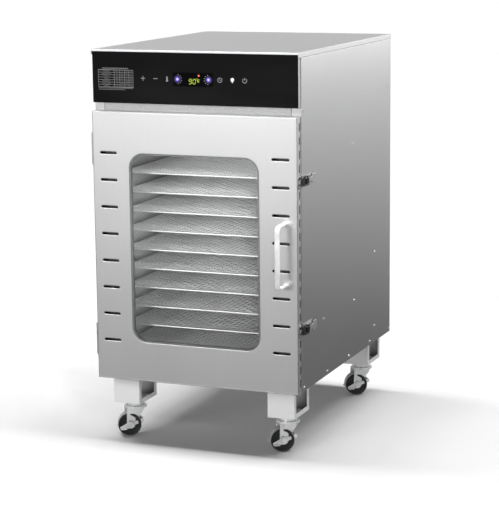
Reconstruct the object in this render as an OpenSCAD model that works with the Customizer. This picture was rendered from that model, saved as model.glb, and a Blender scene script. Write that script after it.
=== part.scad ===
// Upright food dehydrator on four braked casters: a stainless cabinet with a windowed door,
// slide-in mesh trays, two fans with ring heaters behind an air baffle, and a touch panel on top.
// +X is the right-hand side as seen from the front, +Y runs to the back, +Z is up.
// The origin lies on the floor under the middle of the cabinet, its door handle included.

/* [Cabinet] */
// Outside width of the cabinet
cabinet_w = 445; // [440:1:450]
// Depth from the door's front face to the back panel's outer face
cabinet_d = 595; // [590:1:600]
// Height from the floor to the top of the cover
cabinet_h = 814; // [812:1:820]
// Thickness of the outer sheets
sheet = 1; // [0.8:0.1:1.2]
// Width of the flange that each side panel folds across the front
front_flange = 20; // [16:1:22]
// Drop of the top cover's side lips
cover_lip = 10; // [8:1:11]

/* [Chamber] */
// Inside width of the drying chamber
chamber_w = 374; // [370:1:376]
// Height of the chamber's floor above the ground
chamber_z = 160; // [158:1:162]
// Height of the chamber's ceiling above the ground
chamber_top = 690; // [688:1:692]
// Depth behind the door's face at which the air baffle stands
baffle_d = 459; // [457:1:461]

/* [Trays] */
// Number of trays
tray_count = 12; // [8:1:12]
// Distance from one tray to the next
tray_pitch = 39.6; // [38:0.1:40]
// Height of the lowest tray's middle above the ground
tray_low_z = 205; // [203:1:207]
// Width of a tray
tray_w = 360; // [356:1:362]
// Length of a tray, front to back
tray_l = 404; // [400:1:406]
// Height of a tray's rim
tray_h = 6; // [5:0.5:7]

/* [Door] */
// Width of the door
door_w = 441; // [438:1:442]
// Height of the door
door_h = 553; // [550:1:556]
// Height of the door's lower edge above the ground
door_z = 137; // [136:1:138]
// Thickness of the door
door_t = 20; // [19:0.5:20]
// Width of the window
window_w = 280; // [270:1:290]
// Height of the window
window_h = 388; // [380:1:392]
// Height of the window's middle above the ground
window_z = 413; // [411:1:415]
// Radius of the window's corners
window_r = 30; // [25:1:35]
// Number of air slots on each side of the window
slot_count = 8; // [6:1:8]
// Distance from one air slot to the next
slot_pitch = 55.3; // [54:0.1:56]
// Number of slots along each edge wall of the door
edge_slot_count = 20; // [16:1:20]
// Distance from one edge slot to the next
edge_slot_pitch = 26.95; // [26:0.05:27]

/* [Handle] */
// Overall height of the handle
handle_h = 129; // [120:1:140]
// Distance that the handle stands out from the door
handle_reach = 38; // [34:1:42]
// Width of the handle's strap
handle_w = 11; // [10:0.5:13]
// Thickness of the handle's strap
handle_t = 5; // [4:0.5:6]

/* [Control panel] */
// Height of the glass control panel
panel_h = 102.5; // [100:0.5:104]
// Width of the control module
panel_w = 441; // [437:1:442]
// Distance of the panel's face behind the door's face
panel_d = 7; // [6:0.5:8]
// Thickness of the control panel's glass
panel_t = 3; // [3:0.5:4]

/* [Legs and casters] */
// Height of a leg bracket
leg_h = 63; // [60:1:64]
// Width of a leg bracket
leg_w = 58; // [54:1:60]
// Length of a leg bracket, front to back
leg_l = 85; // [80:1:88]
// Diameter of a caster wheel
wheel_dia = 50; // [48:1:50]
// Width of a caster wheel
wheel_w = 20; // [18:1:20]
// Distance from a caster's swivel axis back to its axle
caster_trail = 14; // [12:1:16]
// Angle that all four casters are turned to
caster_turn = 38; // [0:1:90]

/* [Hidden] */
$fn = 48;
fit_gap = 0.3;          // air between pieces that move past each other
turn_gap = 0.05;        // radial running clearance of pins in bores

front_y = -(cabinet_d + handle_reach) / 2 + handle_reach;
half_w = cabinet_w / 2;
half_door = door_w / 2;
half_panel = panel_w / 2;
half_chamber = chamber_w / 2;
seam_d = door_t + 0.5;                // cabinet front plane, behind the door's face
base_z = cabinet_h - 674;             // underside of the bottom panel
caster_h = base_z - leg_h;            // floor to the leg's foot
cover_z = cabinet_h - cover_lip;
panel_z = cabinet_h - 4 - panel_h;    // lower edge of the glass panel
door_top = door_z + door_h;
frame_in = 12;                        // reach of the folds inside the cabinet
frame_seam = 0.8;                     // open seam between the front frame and a side panel's flange
liner_t = 1;

baffle_t = 1;
bracket_d = 500;
fan_d = 472;
fan_z = [310, 540];
fan_r = 78;
shaft_r = 4;
motor_r = 38;
motor_d = 525;
heater_r = 95;
heater_tube = 4;

tray_front_d = 46;
tray_bar = 5;
tray_sheet = 1.2;
runner_w = 12;
runner_t = 1;

glass_t = 3.8;
glass_d = 3.1;
seal_w = 10;
edge_slot_w = 4.2;

hinge_z = [215, 612];
hinge_h = 65;
hinge_knuckles = 5;
barrel_r = 5;
hinge_pin_r = 2.5;
hinge_x = -half_w - barrel_r - 0.5;
hinge_gap = 0.4;

latch_z = [265, 563];
latch_pin_u = 5.2;      // the lever's pin, out from the side panel
latch_pin_v = 8.5;      // the same, back from the door seam
latch_throw = 8;        // from the lever's pin to the bail's pin
latch_w = 9.2;          // half the height of the bail

handle_x = 191.5;
handle_z = 417;
handle_bend = 12;
screw_r = 1.55;

leg_x = 172;
leg_d = [72, 543.5];
leg_t = 2;
leg_margin = 10;

axle_r = 4;
fork_gap = 12;
fork_t = 2;
crown_r = 23;
crown_z = 60;
crown_t = 4;
kingpin_r = 5;
cheek_in = 14.4;
cheek_t = 1.6;
rocker_r = wheel_dia / 2 + 1.4;
brake_tab_angle = 18;
brake_pad_x = -21;
brake_pad_z = -5.5;

CORNERS = ["front_left", "front_right", "rear_left", "rear_right"];
LEVELS = ["lower", "upper"];
function two_digits(n) = n < 10 ? str("0", n) : str(n);
TRAYS = [for (i = [1:tray_count]) str("tray_", two_digits(i))];
FORKS = [for (c = CORNERS) str("caster_fork_", c)];
WHEELS = [for (c = CORNERS) str("caster_wheel_", c)];
BRAKES = [for (c = CORNERS) str("caster_brake_", c)];
FANS = [for (l = LEVELS) str("fan_", l)];
LEVERS = [for (l = LEVELS) str("latch_lever_", l)];
BAILS = [for (l = LEVELS) str("latch_bail_", l)];

// Distances that are given behind the door's front face, in the row's Y
function behind(d) = front_y + d;
// Middle height of a tray, counted from the top one
function tray_z(i) = tray_low_z + (tray_count - 1 - i) * tray_pitch;
// Place of a corner's swivel axis, counted as in CORNERS
function corner_at(i) = [(i % 2 == 0 ? -1 : 1) * leg_x, behind(leg_d[i < 2 ? 0 : 1]), 0];

// Height of the handle's lower (-1) or upper (1) screw
function screw_z(s) = handle_z + s * (handle_h / 2 - 3.3);

// A box given by its two corners
module block(low, high) {
    translate(low) cube([for (i = [0:2]) high[i] - low[i]]);
}

// Flat rectangle with round corners, centred
module round_rect(w, h, r) {
    square([w - 2 * r, h], center = true);
    square([w, h - 2 * r], center = true);
    for (x = [-1, 1], y = [-1, 1])
        translate([x * (w / 2 - r), y * (h / 2 - r)]) circle(r);
}

// Flat slot with round ends, its length along X
module slot_shape(len, wide) {
    square([len - wide, wide], center = true);
    for (s = [-1, 1]) translate([s * (len - wide) / 2, 0]) circle(d = wide, $fn = 24);
}

// Raises a flat shape drawn in X and Z into a sheet from depth d0 to d1 behind the door's face
module upright(d0, d1) {
    translate([0, behind(d1), 0]) rotate([90, 0, 0]) linear_extrude(d1 - d0) children();
}

// Raises a flat shape drawn in Y and Z into a sheet from x0 to x1
module sideways(x0, x1) {
    translate([x0, 0, 0]) rotate([90, 0, 90]) linear_extrude(x1 - x0) children();
}

// Round rod along Y between two depths
module rod(x, z, r, d0, d1) {
    translate([x, behind(d1), z]) rotate([90, 0, 0]) cylinder(r = r, h = d1 - d0);
}

/* ---- cabinet ---- */

module top_cover() {
    color("silver") {
        block([-half_w, behind(panel_d - sheet), cabinet_h - sheet], [half_w, behind(cabinet_d), cabinet_h]);
        for (s = [0, 1]) mirror([s, 0, 0])
            block([half_w - sheet, behind(panel_d - sheet), cover_z], [half_w, behind(cabinet_d), cabinet_h]);
        block([-half_w, behind(panel_d - sheet), cabinet_h - 4], [half_w, behind(panel_d), cabinet_h]);
        block([-half_w, behind(cabinet_d - sheet), cover_z], [half_w, behind(cabinet_d), cabinet_h]);
    }
}

// Side panel for the right; its folds close the front, back, top and bottom edges
module side_panel() {
    z0 = base_z - sheet;
    z1 = cover_z - 0.6;
    d1 = cabinet_d - sheet;
    block([half_w - sheet, behind(seam_d), z0], [half_w, behind(d1), z1]);
    block([half_w - front_flange, behind(seam_d), z0], [half_w, behind(seam_d + sheet), z1]);
    block([half_w - frame_in, behind(d1 - sheet), z0], [half_w, behind(d1), z1]);
    block([half_w - frame_in, behind(seam_d), z1 - sheet], [half_w, behind(d1), z1]);
    block([half_w - frame_in, behind(seam_d), z0], [half_w, behind(d1), z0 + sheet]);
}

module right_side_panel() {
    color("silver") side_panel();
}

module left_side_panel() {
    color("silver") mirror([1, 0, 0]) side_panel();
}

inlet_x = 160;
inlet_z = 195;
module back_panel() {
    z0 = base_z;
    z1 = cover_z - 1;
    color("silver") upright(cabinet_d - sheet, cabinet_d) difference() {
        translate([-half_w + sheet + 0.2, z0]) square([cabinet_w - 2 * sheet - 0.4, z1 - z0]);
        for (z = fan_z, i = [-4:4], s = [-1, 1])
            translate([s * 34, z + i * 14]) slot_shape(52, 5);
        for (i = [-2:2], s = [-1, 1])
            translate([s * 110, 750 + i * 12]) slot_shape(60, 4.5);
        translate([inlet_x, inlet_z]) square([29, 21], center = true);
    }
}

module bottom_panel() {
    color("silver")
        block([-half_w + sheet + 0.2, behind(seam_d + 2 * sheet), base_z],
              [half_w - sheet - 0.2, behind(cabinet_d - 2 * sheet), base_z + sheet]);
}

// Sheet round the chamber's mouth: its middle stands flush between the side panels' flanges,
// and its edges step back behind them
module front_frame() {
    z1 = panel_z - 0.5;
    flush_w = half_w - front_flange - frame_seam;
    color("silver") difference() {
        union() {
            block([-half_w + sheet + 0.2, behind(seam_d + sheet), base_z + sheet],
                  [half_w - sheet - 0.2, behind(seam_d + 2 * sheet), z1]);
            block([-flush_w, behind(seam_d), base_z + sheet], [flush_w, behind(seam_d + 1.5 * sheet), z1]);
        }
        block([-half_chamber, behind(0), chamber_z], [half_chamber, behind(60), chamber_top]);
    }
}

module chamber_liner() {
    d0 = seam_d + 2 * sheet;
    color("gainsboro") difference() {
        block([-half_chamber - liner_t, behind(d0), chamber_z - liner_t],
              [half_chamber + liner_t, behind(baffle_d), chamber_top + liner_t]);
        block([-half_chamber, behind(d0 - 1), chamber_z], [half_chamber, behind(baffle_d + 1), chamber_top]);
    }
}

// Angle rails, one pair under each tray
module tray_runners() {
    d0 = seam_d + 6;
    color("gainsboro") for (i = [0:tray_count - 1], s = [0, 1]) mirror([s, 0, 0]) {
        ledge = tray_z(i) - tray_h / 2 - fit_gap;
        block([half_chamber - runner_w, behind(d0), ledge - runner_t],
              [half_chamber, behind(baffle_d), ledge]);
        block([half_chamber - runner_t, behind(d0), ledge - 9], [half_chamber, behind(baffle_d), ledge]);
    }
}

module air_baffle() {
    w = 2 * (half_chamber + liner_t);
    h = chamber_top - chamber_z + 2 * liner_t;
    mid = (chamber_top + chamber_z) / 2;
    color("gainsboro") upright(baffle_d, baffle_d + baffle_t) translate([0, mid]) difference() {
        square([w, h], center = true);
        for (col = [-4:4], row = [-6:6])
            translate([col * 38, row * tray_pitch]) slot_shape(28, 10);
    }
}

module fan_bracket() {
    w = 2 * (half_chamber + liner_t);
    z0 = base_z + sheet;
    z1 = chamber_top + liner_t;
    color("silver") {
        difference() {
            block([-w / 2, behind(bracket_d), z0], [w / 2, behind(bracket_d + 1), z1]);
            for (z = fan_z) rod(0, z, fan_r + 6, bracket_d - 1, bracket_d + 2);
        }
        for (s = [0, 1]) mirror([s, 0, 0])
            block([w / 2 - 1, behind(baffle_d + baffle_t), z0], [w / 2, behind(bracket_d + 1), z1]);
    }
}

module fan_motors() {
    color("dimgray") for (z = fan_z) {
        difference() {
            union() {
                rod(0, z, motor_r, motor_d, motor_d + 52);
                rod(0, z, 14, motor_d - 6, motor_d + 1);
            }
            rod(0, z, shaft_r + turn_gap, motor_d - 7, motor_d + 30);
        }
        for (a = [45:90:315])
            rod(46 * cos(a), z + 46 * sin(a), 3, motor_d + 30, cabinet_d - sheet);
        translate([0, 0, z]) difference() {
            upright(motor_d + 30, motor_d + 33) round_rect(104, 104, 20);
            rod(0, 0, motor_r - 1, motor_d + 29, motor_d + 34);
        }
    }
}

module heating_elements() {
    color("darkgray") for (z = fan_z) {
        translate([0, behind(482), z]) rotate([90, 0, 0])
            rotate_extrude($fn = 72) translate([heater_r, 0]) circle(heater_tube, $fn = 20);
        for (a = [80, 100]) rod(heater_r * cos(a), z + heater_r * sin(a), 3, 483, bracket_d);
    }
}

/* ---- control module ---- */

module control_box() {
    d0 = panel_d + panel_t + 0.2;
    z0 = panel_z - 0.4;
    z1 = cabinet_h - 4.2;
    color("silver") difference() {
        block([-half_panel, behind(d0), z0], [half_panel, behind(seam_d), z1]);
        block([-half_panel + sheet, behind(d0 - 1), z0 + sheet],
              [half_panel - sheet, behind(seam_d - sheet), z1 + 1]);
        block([-60, behind(d0), z0 + 30], [60, behind(seam_d + 1), z1 - 25]);
    }
}

module control_glass() {
    color("black")
        block([-half_panel, behind(panel_d), panel_z - 0.4],
              [half_panel, behind(panel_d + panel_t), cabinet_h - 4.3]);
}

module display_module() {
    mid = cabinet_h - 56;
    d0 = panel_d + panel_t;
    color("darkgreen") block([-130, behind(d0 + 3), mid - 20], [130, behind(d0 + 4.6), mid + 20]);
    color("black") {
        block([-15, behind(d0 + 0.2), mid - 11], [15, behind(d0 + 3), mid + 11]);
        for (x = [-33.5, 33.5]) rod(x, mid, 9, d0 + 0.2, d0 + 3);
    }
}

// Appliance inlet with three flat pins in a shroud that opens to the back
module power_inlet() {
    d1 = cabinet_d + 2;
    translate([inlet_x, 0, inlet_z]) {
        color("black") difference() {
            union() {
                block([-14.4, behind(d1 - 24), -10.4], [14.4, behind(d1), 10.4]);
                block([-20, behind(cabinet_d), -14], [20, behind(d1), 14]);
            }
            block([-12, behind(d1 - 17), -8], [12, behind(d1 + 1), 8]);
        }
        color("silver") {
            for (x = [-7, 7]) block([x - 1, behind(d1 - 18), -4], [x + 1, behind(d1 - 6), 0]);
            block([-1, behind(d1 - 18), 1], [1, behind(d1 - 6), 5]);
        }
    }
}

// Low dome that stands on a side panel; its axis is +X
module rivet() {
    rotate([0, 90, 0]) rotate_extrude($fn = 20) polygon([[0, 0], [2.7, 0], [2.5, 0.9], [1.6, 1.5], [0, 1.6]]);
}

// Rivets that hold the liner, the tray rails and the baffle; both sides carry the same rows
module panel_rivets() {
    rows = [[700, 30, 179, 4], [600, 142, 189, 2], [262, 147, 192, 2], [147, 27, 140, 5]];
    column = [672.5, 343, 175.5];
    color("whitesmoke") {
        for (s = [0, 1]) mirror([s, 0, 0]) {
            for (r = rows, i = [0:r[3] - 1]) translate([half_w, behind(r[1] + i * r[2]), r[0]]) rivet();
            for (z = column) translate([half_w, behind(480), z]) rivet();
        }
        for (x = [-1, 1], i = [0:4])
            translate([x * (half_w - 8), behind(cabinet_d), 160 + i * 155]) rotate([0, 0, 90]) rivet();
    }
}

/* ---- hinges ---- */

knuckle_h = (hinge_h - (hinge_knuckles - 1) * hinge_gap) / hinge_knuckles;

// Lower end of a knuckle, counted from the bottom of its hinge
function knuckle_z(k) = k * (knuckle_h + hinge_gap);

module hinge_cabinet_leaves() {
    color("silver") for (z = hinge_z) translate([0, behind(seam_d), z - hinge_h / 2]) {
        block([-half_w - 2, 5, 0], [-half_w, 34, hinge_h]);
        for (k = [0:2:hinge_knuckles - 1]) {
            translate([hinge_x, 0, knuckle_z(k)]) cylinder(r = barrel_r, h = knuckle_h);
            block([-half_w - 2, 1.5, knuckle_z(k)], [-half_w, 6, knuckle_z(k) + knuckle_h]);
            block([hinge_x, 1.5, knuckle_z(k)], [-half_w - 1, 4, knuckle_z(k) + knuckle_h]);
        }
        translate([hinge_x, 0, 0]) cylinder(r = hinge_pin_r, h = hinge_h);
        for (q = [12:20:hinge_h], y = [14, 27]) translate([-half_w - 2, y, q]) mirror([1, 0, 0]) rivet();
    }
}

module hinge_door_leaves() {
    color("silver") for (z = hinge_z) translate([0, behind(seam_d), z - hinge_h / 2]) {
        block([-half_door - 1.8, -19, 0], [-half_door, -3, hinge_h]);
        for (k = [1:2:hinge_knuckles - 1]) difference() {
            union() {
                translate([hinge_x, 0, knuckle_z(k)]) cylinder(r = barrel_r, h = knuckle_h);
                block([hinge_x + 1, -6, knuckle_z(k)], [-half_door, -3, knuckle_z(k) + knuckle_h]);
            }
            translate([hinge_x, 0, knuckle_z(k) - 1]) cylinder(r = hinge_pin_r + turn_gap, h = knuckle_h + 2);
        }
        for (q = [12:20:hinge_h]) translate([-half_door - 1.8, -12, q]) mirror([1, 0, 0]) rivet();
    }
}

/* ---- draw latches: u stands out from the side panel, v runs back from the door seam ---- */

module at_latch(z) {
    translate([half_w, behind(seam_d), z]) children();
}

module latch_base() {
    block([0, 3.5, -11.5], [1.5, 47, 11.5]);
    for (s = [0, 1]) mirror([0, 0, s]) {
        block([0.5, latch_pin_v - 4, 6], [latch_pin_u, latch_pin_v + 4, 7.2]);
        translate([latch_pin_u, latch_pin_v, 6]) cylinder(r = 2.6, h = 1.2);
    }
    translate([latch_pin_u, latch_pin_v, -7.2]) cylinder(r = 1.4, h = 14.4, $fn = 24);
    for (z = [-7.5, 7.5], v = [28, 41]) translate([1.5, v, z]) rivet();
}

module latch_bases() {
    color("silver") for (z = latch_z) at_latch(z) latch_base();
}

// Lever: a block on the pin, then a flat finger tongue that runs back over the base
module latch_lever(i) {
    u = latch_pin_u;
    v = latch_pin_v;
    tongue_u = 3.6;
    color("black") at_latch(latch_z[i]) {
        difference() {
            union() {
                translate([u, v, -5.6]) cylinder(r = 3.1, h = 11.2);
                block([u - 2, v, -5.6], [u + 3.1, v + 12, 5.6]);
            }
            translate([u, v, -6]) cylinder(r = 1.4 + turn_gap, h = 12, $fn = 24);
        }
        block([tongue_u, v + 10, -4], [tongue_u + 1.4, 52, 4]);
        translate([tongue_u, 0, 0]) rotate([90, 0, 90]) linear_extrude(1.4)
            polygon([[48, -4], [52, -9], [67, -9], [71, -5], [71, 5], [67, 9], [52, 9], [48, 4]]);
        translate([u, v + latch_throw, -latch_w - 0.1]) cylinder(r = 1.3, h = 2 * latch_w + 0.2, $fn = 24);
    }
}

module latch_bail(i) {
    u = latch_pin_u;
    b = latch_pin_v + latch_throw;
    arm = 1.7;
    color("#222222") at_latch(latch_z[i]) {
        translate([u - 1.3, 0, 0]) rotate([90, 0, 90]) linear_extrude(2.6) difference() {
            polygon([[3, -latch_w], [3, latch_w], [0, latch_w], [-12, 6.5], [-19, 3], [-19, -3],
                     [-12, -6.5], [0, -latch_w]]);
            translate([-12.5, 0]) square([2.4, 7], center = true);
        }
        for (s = [0, 1]) mirror([0, 0, s]) difference() {
            union() {
                block([u - 1.3, 2, latch_w - arm], [u + 1.3, b, latch_w]);
                translate([u, b, latch_w - arm]) cylinder(r = 2.6, h = arm);
            }
            translate([u, b, latch_w - arm - 1]) cylinder(r = 1.3 + turn_gap, h = arm + 2, $fn = 24);
        }
    }
}

// Hook plates on the door's edge; the bails reach over them
module latch_keepers() {
    step = half_door - half_w;
    color("silver") for (z = latch_z) at_latch(z) {
        translate([step, 0, 0]) rotate([90, 0, 90]) linear_extrude(1.2)
            polygon([[-19, -6], [-19, 6], [-12, 15], [-8, 15], [-2, 6], [-2, -6], [-8, -15], [-12, -15]]);
        block([step, -14, -3.5], [latch_pin_u - 1.9, -11, 3.5]);
        for (s = [-1, 1]) translate([step + 1.2, -10, s * 10]) rivet();
    }
}

/* ---- door ---- */

module window_shape(grow) {
    translate([0, window_z]) round_rect(window_w + 2 * grow, window_h + 2 * grow, window_r + grow);
}

module door_skin() {
    mid = door_z + door_h / 2;
    color("silver") {
        upright(0, sheet) difference() {
            translate([0, mid]) square([door_w, door_h], center = true);
            window_shape(0);
            for (s = [-1, 1], i = [0:slot_count - 1])
                translate([s * 186, window_z + (i - (slot_count - 1) / 2) * slot_pitch]) slot_shape(36.5, 4.7);
            for (s = [-1, 1]) translate([handle_x, screw_z(s)]) circle(screw_r + 0.25);
        }
        for (s = [0, 1]) mirror([s, 0, 0]) sideways(half_door - sheet, half_door) difference() {
            translate([behind(0), door_z]) square([door_t, door_h]);
            for (i = [0:edge_slot_count - 1])
                translate([behind(13), mid + (i - (edge_slot_count - 1) / 2) * edge_slot_pitch])
                    rotate(90) slot_shape(16.5, edge_slot_w);
        }
        for (z = [door_z, door_top - sheet])
            block([-half_door, behind(0), z], [half_door, behind(door_t), z + sheet]);
    }
}

// Pan that closes the door's back and folds forward round the window
module door_liner() {
    mid = door_z + door_h / 2;
    d1 = door_t - 4;
    color("gainsboro") {
        upright(d1 - 1, d1) difference() {
            translate([0, mid]) square([door_w - 2.4, door_h - 2.4], center = true);
            window_shape(11);
        }
        upright(9, d1) difference() {
            window_shape(12);
            window_shape(11);
        }
    }
}

module door_glass() {
    color([0.6, 0.65, 0.7, 0.35]) upright(glass_d, glass_d + glass_t) window_shape(3);
}

// Rubber channel that grips the glass and lines the window's edge
module window_gasket() {
    color("black") {
        upright(0.2, glass_d) difference() {
            window_shape(-0.3);
            window_shape(-2.6);
        }
        upright(sheet, glass_d) difference() {
            window_shape(10);
            window_shape(-2.6);
        }
        upright(glass_d, glass_d + glass_t) difference() {
            window_shape(10);
            window_shape(3.1);
        }
        upright(glass_d + glass_t, 9) difference() {
            window_shape(10);
            window_shape(-2.6);
        }
    }
}

module door_seal() {
    z0 = chamber_z - 14;
    z1 = chamber_top - 4;
    color("dimgray") upright(door_t - 4, seam_d - fit_gap) translate([0, (z0 + z1) / 2]) difference() {
        round_rect(chamber_w + 32, z1 - z0, 14);
        round_rect(chamber_w + 32 - 2 * seal_w, z1 - z0 - 2 * seal_w, 4);
    }
}

module door_handle() {
    reach = handle_reach;
    color("whitesmoke") difference() {
        translate([handle_x, 0, 0]) sideways(-handle_w / 2, handle_w / 2) difference() {
            translate([behind(0), handle_z]) round_rect(2 * reach, handle_h, handle_bend);
            translate([behind(0), handle_z])
                round_rect(2 * (reach - handle_t), handle_h - 2 * handle_t - 3, handle_bend - handle_t);
            translate([behind(0), handle_z - handle_h]) square([reach * 2, handle_h * 2]);
        }
        for (s = [-1, 1]) rod(handle_x, screw_z(s), screw_r + turn_gap, -10, 1);
    }
}

module handle_screws() {
    color("silver") for (s = [-1, 1]) {
        rod(handle_x, screw_z(s), screw_r, -9, sheet + 1);
        rod(handle_x, screw_z(s), 3.4, sheet, sheet + 2.2);
    }
}

/* ---- fans ---- */

module fan(i) {
    color("silver") {
        rod(0, fan_z[i], shaft_r, fan_d, motor_d + 28);
        rod(0, fan_z[i], 16, fan_d, fan_d + 14);
        for (a = [0:60:300]) translate([0, behind(fan_d + 7), fan_z[i]]) rotate([0, a, 0])
            translate([13, 0, 0]) rotate([28, 0, 0]) block([0, -0.8, -19], [fan_r - 16, 0.8, 19]);
    }
}

/* ---- legs and casters ---- */

module leg() {
    x = leg_w / 2;
    y = leg_l / 2;
    difference() {
        block([-x, -y, caster_h], [x, y, base_z]);
        block([-x + leg_t, -y + leg_t, caster_h + leg_t], [x - leg_t, y - leg_t, base_z + 1]);
        block([-x - 1, -y + leg_margin, caster_h + leg_margin - 1], [x + 1, y - leg_margin, base_z + 1]);
        cylinder(r = kingpin_r + 1, h = 3 * caster_h, center = true);
    }
}

module legs() {
    color("whitesmoke") for (i = [0:3]) translate(corner_at(i)) leg();
}

// Fixed half of a caster: top plate, ball race, kingpin with its nuts, and four bolts
module caster_mount() {
    block([-24, -24, caster_h - 2.5], [24, 24, caster_h]);
    translate([0, 0, crown_z + crown_t + fit_gap])
        cylinder(r = 17, h = caster_h - 2 - crown_z - crown_t - fit_gap);
    translate([0, 0, crown_z - 4]) cylinder(r = kingpin_r, h = caster_h - crown_z + 10);
    translate([0, 0, crown_z - 4]) cylinder(r = 8, h = 4 - fit_gap, $fn = 6);
    for (x = [-18, 18], y = [-18, 18]) translate([x, y, 0]) {
        translate([0, 0, caster_h + leg_t]) cylinder(r = 4, h = 3, $fn = 6);
        translate([0, 0, caster_h - 4.5]) cylinder(r = 3.6, h = 2.1);
    }
}

module caster_mounts() {
    color("silver") for (i = [0:3]) translate(corner_at(i)) caster_mount();
}

// Caster parts are drawn with the swivel axis at the origin and the wheel trailing along -X
module at_caster(i) {
    translate(corner_at(i)) rotate([0, 0, caster_turn]) children();
}

// Round plate or ring across the wheel's axle
module disc(r, y0, y1) {
    translate([-caster_trail, y1, wheel_dia / 2]) rotate([90, 0, 0]) cylinder(r = r, h = y1 - y0);
}

module fork_plate() {
    r = 9;
    axle_z = wheel_dia / 2;
    linear_extrude(fork_t) difference() {
        union() {
            translate([-caster_trail, axle_z]) circle(r);
            polygon([[-caster_trail - r, axle_z], [-caster_trail - r + 1, crown_z + 1], [-17, crown_z + crown_t],
                     [17, crown_z + crown_t], [13, crown_z - 6], [1, axle_z + 12], [-caster_trail + r - 2, axle_z - 4]]);
        }
        translate([-caster_trail, axle_z]) circle(axle_r - 0.5);
    }
}

module caster_fork(i) {
    color("gainsboro") at_caster(i) {
        difference() {
            union() {
                translate([0, 0, crown_z]) cylinder(r = crown_r, h = crown_t);
                for (y = [-fork_gap, fork_gap + fork_t])
                    translate([0, y, 0]) rotate([90, 0, 0]) fork_plate();
            }
            translate([0, 0, crown_z - 1]) cylinder(r = kingpin_r + turn_gap, h = crown_t + 2);
        }
        disc(axle_r, -18.5, 18.5);
        for (s = [0, 1]) mirror([0, s, 0]) translate([-caster_trail, 19.5, wheel_dia / 2])
            rotate([90, 0, 0]) cylinder(r = 6.5, h = 3, $fn = 6);
    }
}

module caster_wheel(i) {
    r = wheel_dia / 2;
    w = wheel_w / 2;
    color("#1c1c1c") at_caster(i) difference() {
        translate([-caster_trail, 0, r]) rotate([90, 0, 0]) rotate_extrude($fn = 96) polygon(concat(
            [[0, -w - 1], [8, -w - 1], [8, -w + 2], [r - 7, -w + 1.5], [r - 4, -w]],
            [for (a = [-90:15:90]) [r - 3 + 3 * cos(a), (w - 3) * sign(a) + 3 * sin(a)]],
            [[r - 4, w], [r - 7, w - 1.5], [8, w - 2], [8, w + 1], [0, w + 1]]));
        disc(axle_r + turn_gap, -w - 2, w + 2);
    }
}

// Foot brake: two cheeks on the axle, each with a foot pad behind, joined by a lift tab in front
module caster_brake(i) {
    hub_r = 8;
    end_r = 3;
    color("gainsboro") at_caster(i) translate([-caster_trail, 0, wheel_dia / 2]) {
        for (s = [0, 1]) mirror([0, s, 0]) {
            translate([0, cheek_in + cheek_t, 0]) rotate([90, 0, 0]) linear_extrude(cheek_t) difference() {
                union() {
                    circle(hub_r);
                    polygon([[-2, 7], [brake_pad_x, brake_pad_z + end_r], [brake_pad_x, brake_pad_z - end_r],
                             [2, -hub_r], [7, -4]]);
                    translate([brake_pad_x, brake_pad_z]) circle(end_r);
                    rotate(brake_tab_angle) translate([0, -3.5]) square([rocker_r + 0.5, 7]);
                }
                circle(axle_r + turn_gap);
            }
            block([brake_pad_x - 2, cheek_in, brake_pad_z - end_r],
                  [brake_pad_x + 10, cheek_in + 8, brake_pad_z - end_r + cheek_t]);
        }
        translate([0, cheek_in + cheek_t, 0]) rotate([90, 0, 0])
            linear_extrude(2 * (cheek_in + cheek_t)) rotate(brake_tab_angle)
                translate([rocker_r, -3.5]) square([2, 7]);
    }
}

/* ---- trays ---- */

// Rolled rim round a sheet that is slotted into bars, which carries the woven mesh
module tray(i) {
    columns = 28;
    rows = 3;
    inner_w = tray_w - 2 * tray_bar;
    inner_l = tray_l - 2 * tray_bar;
    rib = 2;
    cell_w = (inner_w - (columns - 1) * rib) / columns;
    cell_l = (inner_l - (rows - 1) * 3 * rib) / rows;
    color("silver") translate([-tray_w / 2, behind(tray_front_d), tray_z(i) - tray_h / 2]) {
        difference() {
            cube([tray_w, tray_l, tray_h]);
            translate([tray_bar, tray_bar, -1]) cube([inner_w, inner_l, tray_h + 2]);
        }
        translate([0, 0, tray_h / 2 - tray_sheet / 2]) linear_extrude(tray_sheet) difference() {
            translate([tray_bar / 2, tray_bar / 2]) square([tray_w - tray_bar, tray_l - tray_bar]);
            for (c = [0:columns - 1], r = [0:rows - 1])
                translate([tray_bar + c * (cell_w + rib), tray_bar + r * (cell_l + 3 * rib)])
                    square([cell_w, cell_l]);
        }
    }
}

top_cover();
left_side_panel();
right_side_panel();
back_panel();
bottom_panel();
front_frame();
chamber_liner();
tray_runners();
air_baffle();
fan_bracket();
fan_motors();
heating_elements();
control_box();
control_glass();
display_module();
power_inlet();
panel_rivets();
hinge_cabinet_leaves();
latch_bases();
legs();
caster_mounts();
door_skin();
door_liner();
door_glass();
window_gasket();
door_seal();
door_handle();
handle_screws();
hinge_door_leaves();
latch_keepers();
for (i = [0:1]) {
    latch_lever(i);
    latch_bail(i);
    fan(i);
}
for (i = [0:3]) {
    caster_fork(i);
    caster_wheel(i);
    caster_brake(i);
}
for (i = [0:tray_count - 1]) {
    tray(i);
}
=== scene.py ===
"""Food dehydrator: the looks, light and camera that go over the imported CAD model.

Materials for the CAD's own parts, and finer meshes for the trays, the touch panel's print, the
door handle and the caster wheels. Every length is in metres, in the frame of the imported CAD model:
+X right, +Y back, +Z up.
"""

import math

import bpy
import bmesh
from mathutils import Matrix, Vector


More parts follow.
